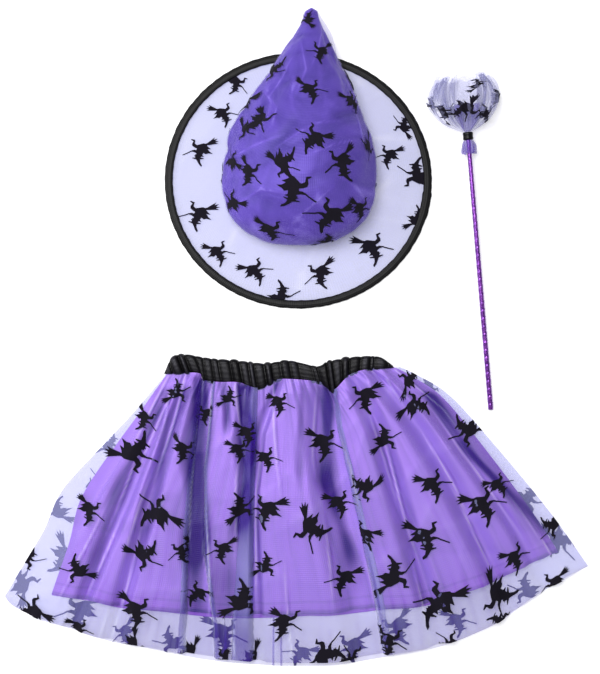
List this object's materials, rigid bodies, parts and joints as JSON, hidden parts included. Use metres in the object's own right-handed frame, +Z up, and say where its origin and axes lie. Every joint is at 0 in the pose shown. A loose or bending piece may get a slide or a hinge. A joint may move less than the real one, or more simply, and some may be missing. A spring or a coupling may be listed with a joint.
{
  "type": "witch costume",
  "caption": "Child's witch costume laid out flat: gathered tulle skirt over satin, wide-brimmed pointed hat with soft crown, and a wand with a tuft.",
  "frame": {"origin": "middle of the laid-out costume's footprint, on the surface that it lies on", "axes": "+Z up from that surface; +Y from the skirt's hem towards the hat's tip; +X to the right as it is looked down on"},
  "size_m": [0.67, 0.7548, 0.0869],
  "materials": {
    "purple_satin": "smooth purple satin with a soft sheen",
    "black_satin": "black satin",
    "organza": "sheer lilac organza with black flocked figures",
    "foil_wrap": "purple foil tape wound round a stick"
  },
  "bodies": {
    "root": {"waistband": "black_satin", "skirt_lining_front": "purple_satin", "skirt_lining_back": "purple_satin", "skirt_organza_front": "organza", "skirt_organza_back": "organza", "hat_brim": "organza", "hat_binding": "black_satin", "hat_crown_satin": "purple_satin", "hat_crown_organza": "organza", "wand_stick": "foil_wrap", "wand_collar": "organza", "wand_tie": "black_satin", "wand_tuft_outer": "organza", "wand_tuft_inner": "organza"}
  },
  "joints": []
}
